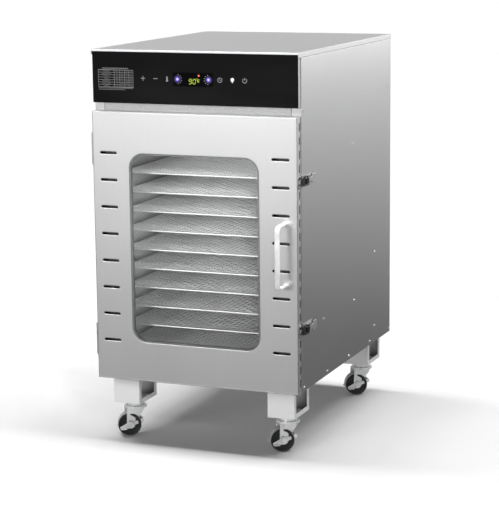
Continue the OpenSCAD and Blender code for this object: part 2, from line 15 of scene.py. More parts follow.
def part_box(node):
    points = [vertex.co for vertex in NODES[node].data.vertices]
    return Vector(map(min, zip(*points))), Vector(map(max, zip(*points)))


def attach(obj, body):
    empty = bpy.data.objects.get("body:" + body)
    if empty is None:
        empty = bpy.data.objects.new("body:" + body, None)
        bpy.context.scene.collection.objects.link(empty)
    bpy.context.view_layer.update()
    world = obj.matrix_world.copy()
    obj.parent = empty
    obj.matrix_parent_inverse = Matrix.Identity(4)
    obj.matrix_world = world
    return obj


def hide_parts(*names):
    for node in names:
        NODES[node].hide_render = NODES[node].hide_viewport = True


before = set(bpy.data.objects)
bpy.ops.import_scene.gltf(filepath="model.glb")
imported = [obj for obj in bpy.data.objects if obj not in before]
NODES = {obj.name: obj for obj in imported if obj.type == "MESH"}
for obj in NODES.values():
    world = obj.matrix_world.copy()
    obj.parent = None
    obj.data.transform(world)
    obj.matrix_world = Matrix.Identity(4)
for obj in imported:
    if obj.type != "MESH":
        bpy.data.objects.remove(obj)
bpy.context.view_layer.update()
MM = 0.001


# ---------------------------------------------------------------- material nodes

MASK_SAMPLES = 6
# how far the bevelled normal agrees with the true one on a sharp edge and on a flat
EDGE_LEAN = (0.85, 0.995)
# share of free space that counts as a seam and as open
SEAM_SPAN = (0.25, 0.85)
# noise cycles per metre across and along brushed lines
ACROSS, ALONG = 1500, 12
BRUSHED = {
    "x": (ALONG, ACROSS, ACROSS),
    "y": (ACROSS, ALONG, ACROSS),
    "z": (ACROSS, ACROSS, ALONG),
}
# plated parts: tone of the painted highlight on their edges and of the painted shade in their seams,
# and how wide a seam is
PLATE_EDGE_HIGHLIGHT, PLATE_CREVICE_SHADE, PLATE_REACH = 1.2, 0.4, 3 * MM
# upward part of a normal at which a face starts to take the painted shade of upward faces and
# takes it in full; such a face is also that much rougher
LID_SLOPE = (0.5, 0.9)
LID_DULLNESS = 0.4
BRUSHED_SHEEN = 0.008
GLASS_INDEX = 1.45


def new_material(name):
    """An empty material with a Principled shader on its output: (material, node tree, shader)."""
    material = bpy.data.materials.new(name)
    material.use_nodes = True
    tree = material.node_tree
    tree.nodes.clear()
    shader = tree.nodes.new("ShaderNodeBsdfPrincipled")
    output = tree.nodes.new("ShaderNodeOutputMaterial")
    tree.links.new(shader.outputs["BSDF"], output.inputs["Surface"])
    return material, tree, shader


def noise(tree, scale, detail, stretch=(1, 1, 1), rough=0.5):
    """Noise over the object's own coordinates; stretch multiplies each axis before the scale."""
    coords = tree.nodes.new("ShaderNodeTexCoord")
    mapping = tree.nodes.new("ShaderNodeMapping")
    mapping.inputs["Scale"].default_value = stretch
    texture = tree.nodes.new("ShaderNodeTexNoise")
    texture.inputs["Scale"].default_value = scale
    texture.inputs["Detail"].default_value = detail
    texture.inputs["Roughness"].default_value = rough
    tree.links.new(coords.outputs["Object"], mapping.inputs["Vector"])
    tree.links.new(mapping.outputs["Vector"], texture.inputs["Vector"])
    return texture.outputs["Fac"]


def remap(tree, value, low, high, start=0.3, end=0.7):
    """Value from start to end becomes low to high; start and end suit a noise's middle."""
    node = tree.nodes.new("ShaderNodeMapRange")
    node.inputs["From Min"].default_value = start
    node.inputs["From Max"].default_value = end
    node.inputs["To Min"].default_value = low
    node.inputs["To Max"].default_value = high
    tree.links.new(value, node.inputs["Value"])
    return node.outputs["Result"]


def math_node(tree, operation, a, b):
    """One math step on two sockets."""
    node = tree.nodes.new("ShaderNodeMath")
    node.operation = operation
    tree.links.new(a, node.inputs[0])
    tree.links.new(b, node.inputs[1])
    return node.outputs["Value"]


def component(tree, vector, axis):
    """One of a vector socket's three numbers."""
    split = tree.nodes.new("ShaderNodeSeparateXYZ")
    tree.links.new(vector, split.inputs["Vector"])
    return split.outputs[axis]


def mix_colors(tree, factor, dark, light):
    """Colour from dark to light as factor goes from 0 to 1; each may be a colour or a socket."""
    node = tree.nodes.new("ShaderNodeMix")
    node.data_type = "RGBA"
    tree.links.new(factor, node.inputs["Factor"])
    for name, colour in (("A", dark), ("B", light)):
        socket = [s for s in node.inputs if s.name == name and s.type == "RGBA"][0]
        if isinstance(colour, (tuple, list)):
            socket.default_value = (*colour, 1)
        else:
            tree.links.new(colour, socket)
    return [s for s in node.outputs if s.type == "RGBA"][0]


def grey(level, blue=0.005):
    """A grey whose blue is a little higher."""
    return (level, level, level + blue)


def scaled(colour, factor):
    return tuple(min(1.0, c * factor) for c in colour)


def mottled(tree, field, colour, low, high):
    """The colour times low to high, as a noise goes from its troughs to its peaks."""
    return mix_colors(tree, remap(tree, field, 0, 1), scaled(colour, low), scaled(colour, high))


def edge_mask(tree, radius):
    """1 on sharp edges and 0 on flats, from how far a bevelled normal leans; also that normal."""
    bevel = tree.nodes.new("ShaderNodeBevel")
    bevel.samples = MASK_SAMPLES
    bevel.inputs["Radius"].default_value = radius
    geometry = tree.nodes.new("ShaderNodeNewGeometry")
    dot = tree.nodes.new("ShaderNodeVectorMath")
    dot.operation = "DOT_PRODUCT"
    tree.links.new(bevel.outputs["Normal"], dot.inputs[0])
    tree.links.new(geometry.outputs["Normal"], dot.inputs[1])
    return remap(tree, dot.outputs["Value"], 1.0, 0.0, *EDGE_LEAN), bevel.outputs["Normal"]


def crevice(tree, reach):
    """0 in corners and seams, 1 on open faces: how much of the space within reach is free."""
    node = tree.nodes.new("ShaderNodeAmbientOcclusion")
    node.samples = MASK_SAMPLES
    node.inputs["Distance"].default_value = reach
    return remap(tree, node.outputs["AO"], 0, 1, *SEAM_SPAN)


def bump(tree, height, strength, distance, normal):
    """The normal, roughened by a height field."""
    node = tree.nodes.new("ShaderNodeBump")
    node.inputs["Strength"].default_value = strength
    node.inputs["Distance"].default_value = distance
    tree.links.new(height, node.inputs["Height"])
    tree.links.new(normal, node.inputs["Normal"])
    return node.outputs["Normal"]


def shade(tree, shader, colour=None, rough=None, normal=None):
    """Links whichever sockets are given into the shader."""
    for name, socket in (("Base Color", colour), ("Roughness", rough), ("Normal", normal)):
        if socket is not None:
            tree.links.new(socket, shader.inputs[name])


# ---------------------------------------------------------------- materials

def steel(
    name, colour, rough, grain, edge=1.0 * MM, metallic=1.0, depth=0.012, dirt=0.55,
    reach=5 * MM, lip=1.12, lid=1.0,
):
    """Sheet steel: brushed lines along the grain's axis, faint handling marks, painted shade in
    seams and hollows, and a painted highlight or painted shade along edges.

    depth is the strength of the lines' bump. Three tones come after it in turn, as shares of the
    colour: the painted shade of seams and hollows narrower than reach, the painted highlight (over
    1) or painted shade (under 1) of edges within a radius of edge, and the painted shade of upward
       faces.
    """
    material, tree, shader = new_material(name)
    shader.inputs["Metallic"].default_value = metallic
    lines = noise(tree, scale=1.0, detail=2.0, stretch=BRUSHED[grain], rough=0.6)
    clouds = noise(tree, scale=4.0, detail=3.0)
    painted_edge_mask, rounded = edge_mask(tree, edge)
    tone = mottled(tree, lines, colour, low=0.985, high=1.015)
    dullness = remap(tree, clouds, -BRUSHED_SHEEN, BRUSHED_SHEEN)
    if lid != 1.0:
        geometry = tree.nodes.new("ShaderNodeNewGeometry")
        upward = component(tree, geometry.outputs["Normal"], "Z")
        # painted shade: upward faces take a darker colour, and are rougher too
        top_shade_mask = remap(tree, upward, 0, 1, *LID_SLOPE)
        tone = mix_colors(tree, top_shade_mask, tone, scaled(colour, lid))
        duller = remap(tree, upward, 0, LID_DULLNESS, *LID_SLOPE)
        dullness = math_node(tree, "ADD", dullness, duller)
    # painted highlight along edges where the edge tone is over 1, painted shade where it is under 1
    # (the door)
    tone = mix_colors(tree, painted_edge_mask, tone, scaled(colour, lip))
    # painted shade: seams, corners and hollows within reach are darkened towards the seam tone
    tone = mix_colors(tree, crevice(tree, reach), scaled(colour, dirt), tone)
    sheen = remap(tree, lines, rough - BRUSHED_SHEEN, rough + BRUSHED_SHEEN)
    shade(
        tree, shader, tone, math_node(tree, "ADD", sheen, dullness),
        bump(tree, lines, strength=depth, distance=0.4 * MM, normal=rounded),
    )
    return material


def plated(name, colour, rough, edge=0.6 * MM, metallic=1.0):
    """Zinc, chrome or satin plate: fine orange-peel, patchy shine, painted highlights on edges,
    painted shade in seams.
    """
    material, tree, shader = new_material(name)
    shader.inputs["Metallic"].default_value = metallic
    patches = noise(tree, scale=60.0, detail=4.0)
    peel = noise(tree, scale=900.0, detail=2.0)
    painted_edge_mask, rounded = edge_mask(tree, edge)
    tone = mottled(tree, patches, colour, low=0.94, high=1.04)
    # painted highlight along edges
    tone = mix_colors(tree, painted_edge_mask, tone, scaled(colour, PLATE_EDGE_HIGHLIGHT))
    # painted shade in seams and corners
    tone = mix_colors(tree, crevice(tree, PLATE_REACH), scaled(colour, PLATE_CREVICE_SHADE), tone)
    shade(
        tree, shader, tone, remap(tree, patches, low=rough - 0.06, high=rough + 0.1),
        bump(tree, peel, strength=0.06, distance=0.2 * MM, normal=rounded),
    )
    return material


def part_coated(name, coat, bare, split_y):
    """A lever dipped in black coat up to split_y, with bare brushed steel behind it."""
    material, tree, shader = new_material(name)
    shader.inputs["Specular IOR Level"].default_value = LATCH_COAT_SPECULAR
    place = tree.nodes.new("ShaderNodeTexCoord")
    along = component(tree, place.outputs["Object"], "Y")
    blur = 0.3 * MM
    bare_part = remap(tree, along, 0, 1, split_y - blur, split_y + blur)
    grain = noise(tree, scale=1.0, detail=2.0, stretch=(ACROSS, 30, ACROSS))
    painted_edge_mask, rounded = edge_mask(tree, 0.5 * MM)
    # painted highlight: the black coat's edges are 2.5 times lighter
    dark = mix_colors(tree, painted_edge_mask, coat, scaled(coat, 2.5))
    bright = mottled(tree, grain, bare, low=0.95, high=1.05)
    tree.links.new(bare_part, shader.inputs["Metallic"])
    shade(
        tree, shader, mix_colors(tree, bare_part, dark, bright),
        remap(tree, grain, low=0.30, high=0.40),
        bump(tree, grain, strength=0.02, distance=0.3 * MM, normal=rounded),
    )
    return material


def moulded(
    name, colour, rough, pore_scale=1400.0, pore_depth=0.15, edge=0.5 * MM, coat=0.0, lift=1.35,
    specular=0.5,
):
    """Plastic, rubber or paint: fine surface pores, and a painted highlight that makes edges lift
    times the colour.
    """
    material, tree, shader = new_material(name)
    shader.inputs["Coat Weight"].default_value = coat
    shader.inputs["Specular IOR Level"].default_value = specular
    patches = noise(tree, scale=40.0, detail=3.0)
    pores = noise(tree, pore_scale, 2.0)
    painted_edge_mask, rounded = edge_mask(tree, edge)
    tone = mottled(tree, patches, colour, low=0.85, high=1.15)
    # painted highlight along edges
    tone = mix_colors(tree, painted_edge_mask, tone, scaled(colour, lift))
    shade(
        tree, shader, tone, remap(tree, patches, low=rough - 0.06, high=rough + 0.08),
        bump(tree, pores, strength=pore_depth, distance=0.3 * MM, normal=rounded),
    )
    return material


def clear_glass(name, tint):
    """Glass as a see-through sheet: a tinted transparent shader under a sharp reflection."""
    material, tree, shader = new_material(name)
    tree.nodes.remove(shader)
    clear = tree.nodes.new("ShaderNodeBsdfTransparent")
    clear.inputs["Color"].default_value = (*tint, 1)
    gloss = tree.nodes.new("ShaderNodeBsdfGlossy")
    gloss.inputs["Roughness"].default_value = 0.03
    sides = tree.nodes.new("ShaderNodeNewGeometry")
    fresnel = tree.nodes.new("ShaderNodeFresnel")
    # a pane's back face is met from inside, where the plain index would make it a mirror at a slant
    index = remap(tree, sides.outputs["Backfacing"], GLASS_INDEX, 1 / GLASS_INDEX, 0, 1)
    tree.links.new(index, fresnel.inputs["IOR"])
    smears = remap(tree, noise(tree, scale=9.0, detail=3.0), low=0.96, high=1.04)
    mix = tree.nodes.new("ShaderNodeMixShader")
    tree.links.new(math_node(tree, "MULTIPLY", fresnel.outputs["Fac"], smears), mix.inputs["Fac"])
    tree.links.new(clear.outputs["BSDF"], mix.inputs[1])
    tree.links.new(gloss.outputs["BSDF"], mix.inputs[2])
    output = [n for n in tree.nodes if n.type == "OUTPUT_MATERIAL"][0]
    tree.links.new(mix.outputs["Shader"], output.inputs["Surface"])
    return material


def black_panel_glass(name):
    """Back-painted black glass with faint wiped smears in its polish."""
    material, tree, shader = new_material(name)
    shader.inputs["Specular IOR Level"].default_value = 0.05
    smears = noise(tree, scale=7.0, detail=5.0, stretch=(1, 1, 3))
    share = remap(tree, smears, 0, 1)
    tone = mix_colors(tree, share, grey(0.0060, blue=0.0004), grey(0.0085, blue=0.0005))
    rounded = edge_mask(tree, 0.8 * MM)[1]
    shade(tree, shader, tone, remap(tree, smears, low=0.08, high=0.2), rounded)
    return material


def screen_black(name):
    """A display's dark field: blacker than the glass round it."""
    material, tree, shader = new_material(name)
    shader.inputs["Specular IOR Level"].default_value = 0.02
    grain = noise(tree, scale=900.0, detail=2.0)
    share = remap(tree, grain, 0, 1)
    tone = mix_colors(tree, share, grey(0.0012, blue=0.0002), grey(0.0022, blue=0.0004))
    shade(tree, shader, tone, remap(tree, grain, low=0.35, high=0.45))
    return material


def glow(name, colour, strength):
    """A lit indicator, or a painted glow for print and the halos round the dial lights: its light
    varies a little over its face, as a diffuser's does.
    """
    material, tree, shader = new_material(name)
    grain = noise(tree, scale=700.0, detail=2.0)
    tree.links.new(mottled(tree, grain, colour, low=0.8, high=1.0), shader.inputs["Emission Color"])
    shader.inputs["Emission Strength"].default_value = strength
    shader.inputs["Base Color"].default_value = (*scaled(colour, 0.3), 1)
    shade(tree, shader, rough=remap(tree, grain, low=0.3, high=0.45))
    return material


LATCH_COAT_SPECULAR = 0.12
LEVER_COAT_LENGTH = 17 * MM
LEVER_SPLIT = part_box("latch_lever_upper")[0].y + LEVER_COAT_LENGTH

M = {
    # steel: the seam tone is painted shade, the edge tone a painted highlight (over 1) or painted
    # shade (under 1), the door's top tone painted shade
    "door": steel(
        "door_steel", grey(0.86), rough=0.29, grain="z", edge=2.4 * MM, lip=0.12, lid=0.7
    ),
    "frame": steel(
        "front_frame_steel", grey(0.93), rough=0.26, grain="x",
        edge=0.5 * MM, dirt=0.2, reach=20 * MM,
    ),
    "side": steel("side_steel", grey(0.80), rough=0.22, grain="z"),
    "cover": steel("cover_steel", grey(0.78), rough=0.30, grain="y"),
    "liner": steel(
        "liner_steel", grey(0.84), rough=0.30, grain="y",
        metallic=0.55, dirt=0.25, reach=60 * MM,
    ),
    "pan": steel(
        "door_pan_steel", grey(0.80), rough=0.36, grain="z", dirt=0.03, reach=40 * MM
    ),
    "leg": steel(
        "leg_steel", grey(0.76, blue=0), rough=0.48, grain="x",
        metallic=0.35, dirt=0.06, reach=50 * MM,
    ),
    "tray": steel(
        "tray_wire", grey(0.86, blue=0), rough=0.30, grain="x",
        edge=0.3 * MM, metallic=0.75, dirt=0.1, reach=4 * MM,
    ),
    "fan": steel("fan_aluminium", (0.78, 0.79, 0.80), rough=0.35, grain="z", edge=0.5 * MM),
    "heater": steel(
        "heater_sheath", (0.30, 0.26, 0.22), rough=0.42, grain="y", edge=0.5 * MM, depth=0.05
    ),
    "zinc": plated("bright_zinc", (0.90, 0.905, 0.91), rough=0.30, metallic=0.45),
    "chrome": plated("polished_steel", grey(0.86, blue=0.01), rough=0.16, edge=0.4 * MM),
    "latch": plated("latch_plate_steel", grey(0.52), rough=0.42, edge=0.4 * MM),
    "hinge": plated("satin_hinge_steel", grey(0.74, blue=0.01), rough=0.32),
    "black": moulded(
        "black_bail_coat", grey(0.012, blue=0.0005), rough=0.42, specular=LATCH_COAT_SPECULAR
    ),
    "lever": part_coated(
        "latch_lever_finish", coat=grey(0.006, blue=0), bare=grey(0.62), split_y=LEVER_SPLIT
    ),
    "wheel": moulded(
        "wheel_black", grey(0.012, blue=0.0005), rough=0.5,
        pore_scale=900.0, pore_depth=0.25, edge=0.8 * MM, lift=1.8,
    ),
    "tread": moulded(
        "wheel_grey_tread", grey(0.36, blue=0), rough=0.5,
        pore_scale=900.0, pore_depth=0.25, lift=1.2,
    ),
    "rubber": moulded(
        "gasket_rubber", grey(0.10, blue=0.002), rough=0.55, pore_scale=1800.0, pore_depth=0.3
    ),
    "seal": moulded(
        "door_seal_silicone", grey(0.24), rough=0.6, pore_scale=1500.0, pore_depth=0.2
    ),
    "handle": moulded(
        "handle_white_coat", grey(0.42, blue=0), rough=0.34,
        pore_scale=500.0, pore_depth=0.05, edge=0.6 * MM, coat=0.2, lift=1.06,
    ),
    "motor": moulded(
        "motor_paint", grey(0.05, blue=0.002), rough=0.5, pore_scale=600.0, pore_depth=0.2
    ),
    "inlet": moulded("inlet_plastic", grey(0.014, blue=0), rough=0.4),
    "board": moulded(
        "solder_mask", (0.02, 0.14, 0.05), rough=0.35, pore_scale=800.0, pore_depth=0.2
    ),
    "panel": black_panel_glass("panel_black_glass"),
    "window": clear_glass("window_clear_glass", tint=(0.985, 0.99, 0.99)),
    # painted glow: the panel's print is made to emit light, though it is no lamp
    "print": glow("panel_print_grey", grey(0.34, blue=0.01), strength=0.6),
    "faint": glow("panel_print_faint", grey(0.16), strength=0.5),
    "white": glow("panel_print_white", grey(0.9, blue=0), strength=0.9),
    "digit": glow("digit_yellow_green", (0.50, 0.66, 0.04), strength=1.1),
    "orange": glow("indicator_orange", (1.0, 0.20, 0.06), strength=0.9),
    "violet": glow("dial_violet", (0.36, 0.28, 1.0), strength=2.2),
    # painted glow: halos standing for the dial lights' light spread over the glass round them
    "halo": glow("dial_halo", (0.045, 0.035, 0.42), strength=0.8),
    "halo_rim": glow("dial_halo_rim", (0.012, 0.009, 0.12), strength=0.6),
    "screen": screen_black("display_screen_black"),
}

NODE_MATERIALS = {
    "door": ["door_skin"],
    "frame": ["front_frame", "control_box"],
    "side": ["left_side_panel", "right_side_panel", "back_panel", "bottom_panel"],
    "cover": ["top_cover"],
    "liner": ["chamber_liner", "tray_runners", "air_baffle", "fan_bracket"],
    "pan": ["door_liner"],
    "leg": ["legs"],
    "fan": ["fan_lower", "fan_upper"],
    "heater": ["heating_elements"],
    "zinc": ["caster_mounts"] + [n for n in NODES if n.startswith(("caster_fork", "caster_brake"))],
    "chrome": ["panel_rivets", "handle_screws"],
    "latch": ["latch_bases", "latch_keepers"],
    "hinge": ["hinge_cabinet_leaves", "hinge_door_leaves"],
    "black": [n for n in NODES if n.startswith("latch_bail")],
    "lever": [n for n in NODES if n.startswith("latch_lever")],
    "wheel": [n for n in NODES if n.startswith("caster_wheel")],
    "rubber": ["window_gasket"],
    "seal": ["door_seal"],
    "handle": ["door_handle"],
    "motor": ["fan_motors"],
    "inlet": ["power_inlet"],
    "board": ["display_module"],
    "panel": ["control_glass"],
    "window": ["door_glass"],
    "tray": [n for n in NODES if n.startswith("tray_") and n != "tray_runners"],
}


def dress_cad_nodes():
    """Puts each CAD node's material on it."""
    for key, names in NODE_MATERIALS.items():
        for name in names:
            slots = NODES[name].material_slots
            for s in slots:
                s.material = M[key]
            if not slots:
                NODES[name].data.materials.append(M[key])


# ---------------------------------------------------------------- mesh building

SHARP_ANGLE = math.radians(40)


def make_piece(name, verts, faces, material, body, smooth=False, replaces=()):
    """A named mesh that rides on a body, in place of the CAD nodes it replaces."""
    mesh = bpy.data.meshes.new(name)
    mesh.from_pydata([tuple(v) for v in verts], [], faces)
    mesh.validate()
    bm = bmesh.new()
    bm.from_mesh(mesh)
    bmesh.ops.recalc_face_normals(bm, faces=bm.faces)
    bm.to_mesh(mesh)
    bm.free()
    mesh.materials.append(material)
    if smooth:
        mesh.shade_smooth()
        mesh.set_sharp_from_angle(angle=SHARP_ANGLE)
    piece = bpy.data.objects.new(name, mesh)
    bpy.context.scene.collection.objects.link(piece)
    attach(piece, body)
    if replaces:
        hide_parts(*replaces)


def arc(centre, radius, start, end, steps):
    """Points on an arc in a plane, angles in degrees."""
    points = []
    for i in range(steps + 1):
        a = math.radians(start + (end - start) * i / steps)
        points.append((centre[0] + radius * math.cos(a), centre[1] + radius * math.sin(a)))
    return points


def rounded_rect(w, h, r, steps=6):
    """Corner points of a round-cornered rectangle about the origin, anticlockwise."""
    points = []
    for cx, cy, start in ((1, 1, 0), (-1, 1, 90), (-1, -1, 180), (1, -1, 270)):
        points += arc((cx * (w / 2 - r), cy * (h / 2 - r)), r, start, start + 90, steps)
    return points


def ring_faces(n, first, second):
    """The faces between two rings of n corners, given the number of each ring's first corner."""
    return [
        (first + k, first + (k + 1) % n, second + (k + 1) % n, second + k) for k in range(n)
    ]


def sweep(path, section, side, closed):
    """Carries a closed section along a flat path. side is the direction square to the path's plane;
    section points are (along side, outwards in the plane)."""
    side = Vector(side).normalized()
    path = [Vector(p) for p in path]
    n, m = len(path), len(section)
    verts, faces = [], []
    for i, p in enumerate(path):
        before = path[i - 1] if (i or closed) else path[i]
        after = path[(i + 1) % n] if (i < n - 1 or closed) else path[i]
        tangent = (after - before).normalized()
        out = tangent.cross(side).normalized()
        stretch = 1.0
        if (i or closed) and (i < n - 1 or closed):
            into = (p - before).normalized()
            stretch = 1 / max(0.5, abs(into.dot(tangent)))
        for a, b in section:
            verts.append(p + side * a + out * b * stretch)
    for i in range(n if closed else n - 1):
        faces += ring_faces(m, i * m, (i + 1) % n * m)
    if not closed:
        faces.append(tuple(range(m - 1, -1, -1)))
        faces.append(tuple((n - 1) * m + k for k in range(m)))
    return verts, faces


def join(*parts):
    """Several (verts, faces) as one."""
    verts, faces = [], []
    for v, f in parts:
        base = len(verts)
        verts += list(v)
        faces += [tuple(i + base for i in face) for face in f]
    return verts, faces


# ---------------------------------------------------------------- trays

WIRE = 1.7 * MM
WIRE_PITCH = 12 * MM
RIM_W = 5 * MM
RIM_H = 3.8 * MM
RIM_ROUNDING = 1.6 * MM
TRAY_CORNER = 7 * MM


def woven_sheet(low, high, z):
    """A plain weave of round wire: each wire passes over one and under the next."""
    r = WIRE / 2
    columns = round((high.x - low.x) / WIRE_PITCH)
    rows = round((high.y - low.y) / WIRE_PITCH)
    xs = [low.x + (high.x - low.x) * (i + 0.5) / columns for i in range(columns)]
    ys = [low.y + (high.y - low.y) * (j + 0.5) / rows for j in range(rows)]
    verts, faces = [], []

    def wire(points, across):
        base = len(verts)
        for p in points:
            for a, b in ((1, 0), (0, 1), (-1, 0), (0, -1)):
                verts.append((p[0] + across[0] * a * r, p[1] + across[1] * a * r, p[2] + b * r))
        end = base + (len(points) - 1) * 4
        for ring in range(base, end, 4):
            faces.extend(ring_faces(4, ring, ring + 4))
        faces.append((base, base + 1, base + 2, base + 3))
        faces.append((end + 3, end + 2, end + 1, end))

    lift = r * 0.9
    for j, y in enumerate(ys):
        points = [(x, y, z + (lift if (i + j) % 2 else -lift)) for i, x in enumerate(xs)]
        wire([(low.x, y, z)] + points + [(high.x, y, z)], (0, 1))
    for i, x in enumerate(xs):
        points = [(x, y, z - (lift if (i + j) % 2 else -lift)) for j, y in enumerate(ys)]
        wire([(x, low.y, z)] + points + [(x, high.y, z)], (1, 0))
    return verts, faces


def build_tray(node):
    """A woven sheet in a slim round-cornered rim, in place of the CAD tray."""
    low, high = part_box(node)
    mid = (low + high) / 2
    w, l, _ = high - low
    outline = rounded_rect(w - RIM_W, l - RIM_W, TRAY_CORNER, 5)
    path = [(mid.x + x, mid.y + y, mid.z) for x, y in outline]
    rim = sweep(path, rounded_rect(RIM_H, RIM_W, RIM_ROUNDING, 3), (0, 0, 1), True)
    inset = Vector((RIM_W / 2, RIM_W / 2, 0))
    mesh = woven_sheet(low + inset, high - inset, mid.z)
    verts, faces = join(rim, mesh)
    make_piece(node + "_woven", verts, faces, M["tray"], node, True, (node,))


# ---------------------------------------------------------------- control panel's print and display
# Places on the panel are in millimetres from the cabinet's middle and the print's middle line.

PRINT_DROP = 51.8 * MM
PRINT_PROUD = 0.1 * MM
LIT_PROUD = 0.25 * MM
LAYER = 0.05 * MM

PLUS_X, MINUS_X, THERMOMETER_X, CLOCK_X, LAMP_X, POWER_X = -108.4, -81.5, -56, 57.5, 83.9, 110.1
SIGN_REACH, SIGN_WIDTH = 4.6, 1.3
ICON_RING = 4.4

TABLE_LEFT, TABLE_RIGHT, TABLE_TOP, TABLE_BOTTOM = -207.4, -130.4, 15.3, -19.0
TABLE_ROWS = 7
TABLE_COLUMNS = (0.46, 0.62, 0.76, 0.88)
TABLE_HEADING = (-199, -141, 18.6)
TABLE_NOTES = ((-21.2, -131), (-24.0, -148))

SCREEN_W, SCREEN_H, SCREEN_CORNER, SCREEN_DROP = 86, 27.5, 3, 0.3
SEGMENTS = {"9": "abcdfg", "0": "abcdef"}
DIGITS = (("9", -8.8), ("0", -0.4))
DIGIT_FOOT, DIGIT_W, DIGIT_H = -8.8, 5.2, 9.4
SEGMENT_GAP = 0.7
SEGMENT_WIDTH = 1.05
DIGIT_SLANT = 0.12
DIAL_X = 33.4
DIAL_RIM, DIAL_HALO, DIAL_LIGHT = 7.2, 4.6, 2.5
TICK_FROM, TICK_TO, TICK_WIDTH = 8.4, 10.0, 1.3


def flat_prism(points, y0, y1):
    """A flat outline in X and Z, raised from y1 forward to y0."""
    n = len(points)
    verts = [(x, y0, z) for x, z in points] + [(x, y1, z) for x, z in points]
    faces = [tuple(range(n)), tuple(range(2 * n - 1, n - 1, -1))] + ring_faces(n, 0, n)
    return verts, faces


def ribbon(points, width, y0, y1, closed=False):
    """A printed line of constant width along flat points in X and Z."""
    half_y, half_w = (y1 - y0) / 2, width / 2
    section = [(-half_y, -half_w), (half_y, -half_w), (half_y, half_w), (-half_y, half_w)]
    mid = (y0 + y1) / 2
    return sweep([(x, mid, z) for x, z in points], section, (0, 1, 0), closed)


GLASS_FACE, PRINT_MID_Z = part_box("control_glass")[0].y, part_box("control_glass")[1].z - PRINT_DROP
PRINT_Y, LIT_Y = GLASS_FACE - PRINT_PROUD, GLASS_FACE - LIT_PROUD


def put(points, x=0.0):
    """Places on the panel, shifted right by x, as X and Z in metres."""
    return [((x + px) * MM, PRINT_MID_Z + pz * MM) for px, pz in points]


def line(points, width, closed=False, front=PRINT_Y):
    return ribbon(points, width * MM, front, GLASS_FACE, closed)


def disc(x, z, radius, front):
    return flat_prism(put(arc((x, z), radius, 0, 345, 23)), front, GLASS_FACE)


def printed(name, parts, material="print"):
    """One piece of print on the panel, made of several parts."""
    verts, faces = join(*parts)
    make_piece(name, verts, faces, M[material], "cabinet")


def build_icons():
    """The touch marks: plus, minus, thermometer, clock, lamp and power."""
    level, upright = [(-SIGN_REACH, 0), (SIGN_REACH, 0)], [(0, -SIGN_REACH), (0, SIGN_REACH)]
    plus = [line(put(bar, PLUS_X), SIGN_WIDTH) for bar in (level, upright)]
    printed("icon_plus", plus)
    printed("icon_minus", [line(put(level, MINUS_X), SIGN_WIDTH)])

    bulb = (0, -3.4)
    tube = arc(bulb, 1.9, 120, 420, 16) + [(0.95, 4.6), (-0.95, 4.6)]
    printed(
        "icon_thermometer",
        [
            line(put(tube, THERMOMETER_X), 0.8, True),
            flat_prism(put(arc(bulb, 1.3, 0, 330, 11), THERMOMETER_X), PRINT_Y, GLASS_FACE),
            line(put([bulb, (0, 2.4)], THERMOMETER_X), 0.8),
        ],
    )

    ring, hands = arc((0, 0), ICON_RING, 60, 390, 22), [(0, 2.8), (0, 0), (2.0, -1.4)]
    arrow = [(3.0, 3.6), (5.4, 3.0), (3.9, 1.2)]
    printed(
        "icon_clock",
        [
            line(put(ring, CLOCK_X), 1.1),
            line(put(hands, CLOCK_X), 0.9),
            flat_prism(put(arrow, CLOCK_X), PRINT_Y, GLASS_FACE),
        ],
    )

    globe = arc((0, 1.4), 3.6, -50, 230, 18) + [(-1.4, -3.0), (1.4, -3.0)]
    cap = line(put([(-1.3, -4.2), (1.3, -4.2)], LAMP_X), 0.9)
    printed("icon_lamp", [flat_prism(put(globe, LAMP_X), PRINT_Y, GLASS_FACE), cap], "white")

    ring = line(put(arc((0, 0), ICON_RING, 125, 415, 20), POWER_X), 1.2)
    printed("icon_power", [ring, line(put([(0, 0.8), (0, 5.4)], POWER_X), SIGN_WIDTH)])


def build_table():
    """A plain ruled grid with blank bars for its cells, heading and notes."""
    left, right, top, bottom = TABLE_LEFT, TABLE_RIGHT, TABLE_TOP, TABLE_BOTTOM
    parts = [line(put([(left, top), (right, top), (right, bottom), (left, bottom)]), 0.7, True)]
    step = (top - bottom) / TABLE_ROWS
    for i in range(1, TABLE_ROWS):
        z = top - i * step
        parts.append(line(put([(left, z), (right, z)]), 0.6))
    for c in TABLE_COLUMNS:
        x = left + c * (right - left)
        parts.append(line(put([(x, top), (x, bottom)]), 0.6))
    printed("panel_grid", parts)
    cells = []
    edges = (0.0, *TABLE_COLUMNS, 1.0)
    for i in range(TABLE_ROWS):
        z = top - (i + 0.5) * step
        for k in range(len(edges) - 1):
            x0 = left + edges[k] * (right - left)
            x1 = left + edges[k + 1] * (right - left)
            share = 0.42 + 0.16 * math.sin(1.7 * i + 2.3 * k)
            mid, half = (x0 + x1) / 2, share * (x1 - x0) / 2
            cells.append(line(put([(mid - half, z), (mid + half, z)]), 1.0))
    x0, x1, z = TABLE_HEADING
    cells.append(line(put([(x0, z), (x1, z)]), 2.2))
    for z, x1 in TABLE_NOTES:
        cells.append(line(put([(left, z), (x1, z)]), 1.1))
    printed("panel_grid_bars", cells, "faint")


